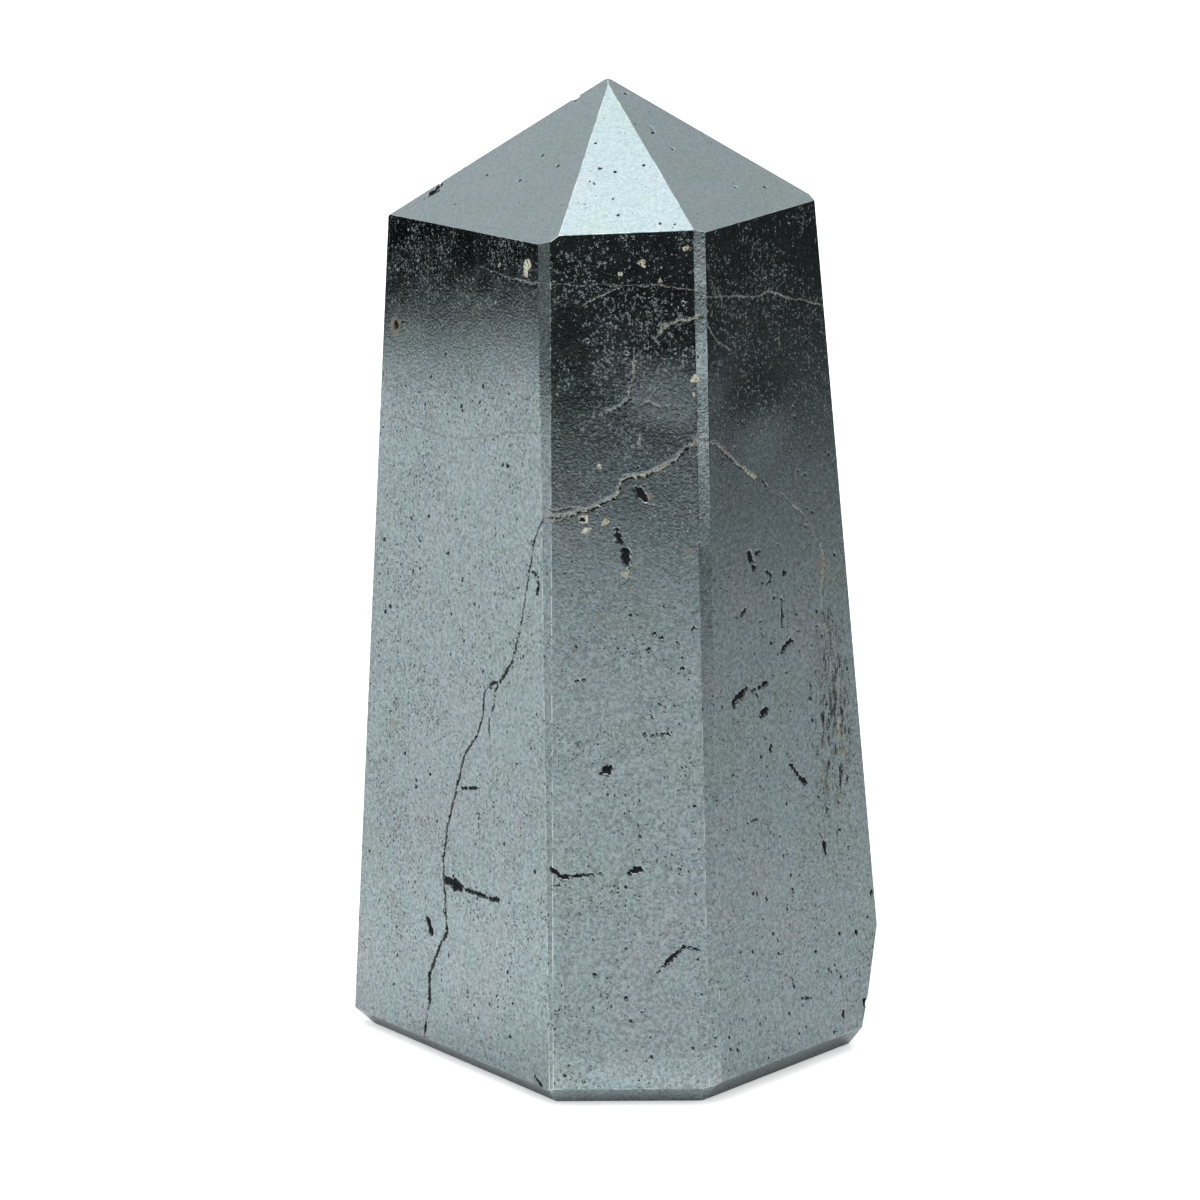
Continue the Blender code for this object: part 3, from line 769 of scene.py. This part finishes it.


# The setting: a pale card on a table, lit by a soft white ceiling. The card's colour holds a painted
# fall-off of light: it is painted dimmer away from the stone, sooner to its sides than in front, and
# past it the room is dark, as the polish reflects.
CARD_HALF = 3.0
CARD_WHITE = (0.76, 0.76, 0.76, 1.0)
CARD_BRIGHT = (0.95, 0.95, 0.95, 1.0)
card = bmesh.new()
bmesh.ops.create_grid(card, x_segments=1, y_segments=1, size=CARD_HALF)
card_mesh = bpy.data.meshes.new("pale_card")
card.to_mesh(card_mesh)
card.free()
floor = bpy.data.objects.new("pale_card", card_mesh)
bpy.context.scene.collection.objects.link(floor)

paper = bpy.data.materials.new("pale_card")
paper.use_nodes = True
tree = paper.node_tree
tree.nodes.clear()


def ramp(factor, stops):
    """Greys along a value, each stop given as (place, grey)."""
    node = add("ShaderNodeValToRGB", {0: factor})
    band = node.color_ramp
    while len(band.elements) < len(stops):
        band.elements.new(1.0)
    for element, (place, grey) in zip(band.elements, stops):
        element.position = place
        element.color = (grey, grey, grey, 1.0)
    return node.outputs[0]


spot = add("ShaderNodeTexCoord").outputs["Object"]
split = add("ShaderNodeSeparateXYZ", {0: spot})
slant = maths("SUBTRACT", split.outputs[0], maths("MULTIPLY", split.outputs[1], 0.6))
slanted = add("ShaderNodeMapRange", {0: slant, 1: -1.5, 2: 0.0}).outputs[0]
across = add("ShaderNodeMapRange", {0: split.outputs[0], 1: -0.3, 2: 1.2}).outputs[0]
ahead = add("ShaderNodeMapRange", {0: split.outputs[1], 1: -3.0, 2: 0.0}).outputs[0]
# Painted fall-off of light: the card's colour darkens away from the stone, with a lighter band just to
# its left.
left_fall = ramp(slanted, [(0.42, 0.01), (0.485, 0.15), (0.535, 0.62), (0.6, 1.0)])
right_fall = ramp(across, [(0.0, 0.87), (0.13, 0.87), (0.157, 1.0), (0.178, 1.0), (0.2, 0.76),
                           (0.306, 0.55), (0.4, 0.436), (0.48, 0.3), (0.58, 0.2), (0.7, 0.07),
                           (1.0, 0.03)])
front_fall = ramp(ahead, [(0.0, 0.05), (0.22, 0.14), (0.5, 0.28), (0.76, 0.76), (0.86, 0.97),
                          (0.92, 1.0)])
card_painted_falloff = blend(1.0, blend(1.0, left_fall, right_fall, "MULTIPLY"), front_fall, "MULTIPLY")
card_painted_falloff = blend(1.0, card_painted_falloff, CARD_BRIGHT, "MULTIPLY")
seen = add("ShaderNodeLightPath").outputs["Is Camera Ray"]

# The card glows a little just in front of the stone's foot, and the camera sees it evenly lit.
FOOT_GLOW = 0.55
foot = add("ShaderNodeVectorMath", {0: spot}, operation="LENGTH").outputs["Value"]
in_front = spread(split.outputs[1], -0.0222, -0.0195, 1.0, 0.0)
strength = maths("MULTIPLY", in_front, spread(foot, 0.03, 0.06, FOOT_GLOW, 0.0))
glow = add("ShaderNodeEmission", {"Color": CARD_WHITE, "Strength": strength})
dim = add("ShaderNodeBsdfDiffuse", {"Color": card_painted_falloff})
dim = add("ShaderNodeAddShader", {0: dim.outputs[0], 1: glow.outputs[0]})
plain = add("ShaderNodeBsdfDiffuse", {"Color": CARD_WHITE})
SEEN_LIFT = 0.55
lift = add("ShaderNodeEmission", {"Color": CARD_WHITE, "Strength": SEEN_LIFT})
lifted = add("ShaderNodeAddShader", {0: plain.outputs[0], 1: lift.outputs[0]})
both = add("ShaderNodeMixShader", {0: seen, 1: dim.outputs[0], 2: lifted.outputs[0]})
add("ShaderNodeOutputMaterial", {"Surface": both.outputs[0]})
card_mesh.materials.append(paper)

# The room is brightest overhead, and lighter in front of the stone than behind it.
SKY_SCALE = 3.0
room = bpy.data.worlds.new("soft white ceiling")
bpy.context.scene.world = room
room.use_nodes = True
tree = room.node_tree
tree.nodes.clear()
direction = add("ShaderNodeTexCoord").outputs["Generated"]
split = add("ShaderNodeSeparateXYZ", {0: direction})
behind = ramp(split.outputs[2], [(0.0, 0.012), (0.2, 0.012), (0.35, 0.12), (0.5, 0.36),
                                 (0.6, 0.38), (0.71, 0.33), (0.85, 0.6), (0.97, 0.88), (1.0, 1.0)])
before = ramp(split.outputs[2], [(0.0, 0.012), (0.34, 0.012), (0.5, 0.65), (0.8, 0.8), (1.0, 1.0)])
facing = add("ShaderNodeMapRange", {0: split.outputs[1], 1: 0.1, 2: -0.5}).outputs[0]
sky = blend(facing, behind, before)
seen = add("ShaderNodeLightPath").outputs["Is Camera Ray"]
lit = add("ShaderNodeBackground", {"Color": sky, "Strength": SKY_SCALE})
white = add("ShaderNodeBackground", {"Color": (1.0, 1.0, 1.0, 1.0), "Strength": 1.0})
both = add("ShaderNodeMixShader", {0: seen, 1: lit.outputs[0], 2: white.outputs[0]})
add("ShaderNodeOutputWorld", {"Surface": both.outputs[0]})
bpy.context.scene.view_settings.view_transform = "Standard"

# Two low reflectors stand far out on the card, in metres and watts. Each is (azimuth, distance,
# width, height, lift, power).
REFLECTORS = {
    "right_reflector": (46.5, 1.25, 0.3, 0.085, 0.0425, 0.1),
    "left_reflector": (-73.8, 1.2, 0.4, 0.05, 0.025, 0.026),
}
for name, (azimuth, distance, width, height, lift, watts) in REFLECTORS.items():
    panel = bpy.data.lights.new(name, "AREA")
    panel.shape = "RECTANGLE"
    panel.size, panel.size_y, panel.energy = width, height, watts
    stand = bpy.data.objects.new(name, panel)
    turn = math.radians(azimuth)
    stand.location = (distance * math.sin(turn), -distance * math.cos(turn), lift)
    stand.rotation_euler = (math.radians(90.0), 0.0, turn)
    stand.visible_camera = False
    bpy.context.scene.collection.objects.link(stand)


# The camera stands level with the stone's crown, a little to the left of its middle, and looks
# down at it. Its lens is long, so the tower's sides stay nearly straight.
CAMERA_PLACE = Vector((-1.27, -398.07, 126.4)) * MM
LOOKS_DOWN = 12.0
LENS = 132.0
SENSOR = 36.0
camera_data = bpy.data.cameras.new("camera")
camera_data.lens = LENS
camera_data.sensor_width = SENSOR
camera_data.clip_start = 10 * MM
camera = bpy.data.objects.new("camera", camera_data)
camera.location = CAMERA_PLACE
camera.rotation_euler = (math.radians(90.0 - LOOKS_DOWN), 0.0, 0.0)
bpy.context.scene.collection.objects.link(camera)
bpy.context.scene.camera = camera
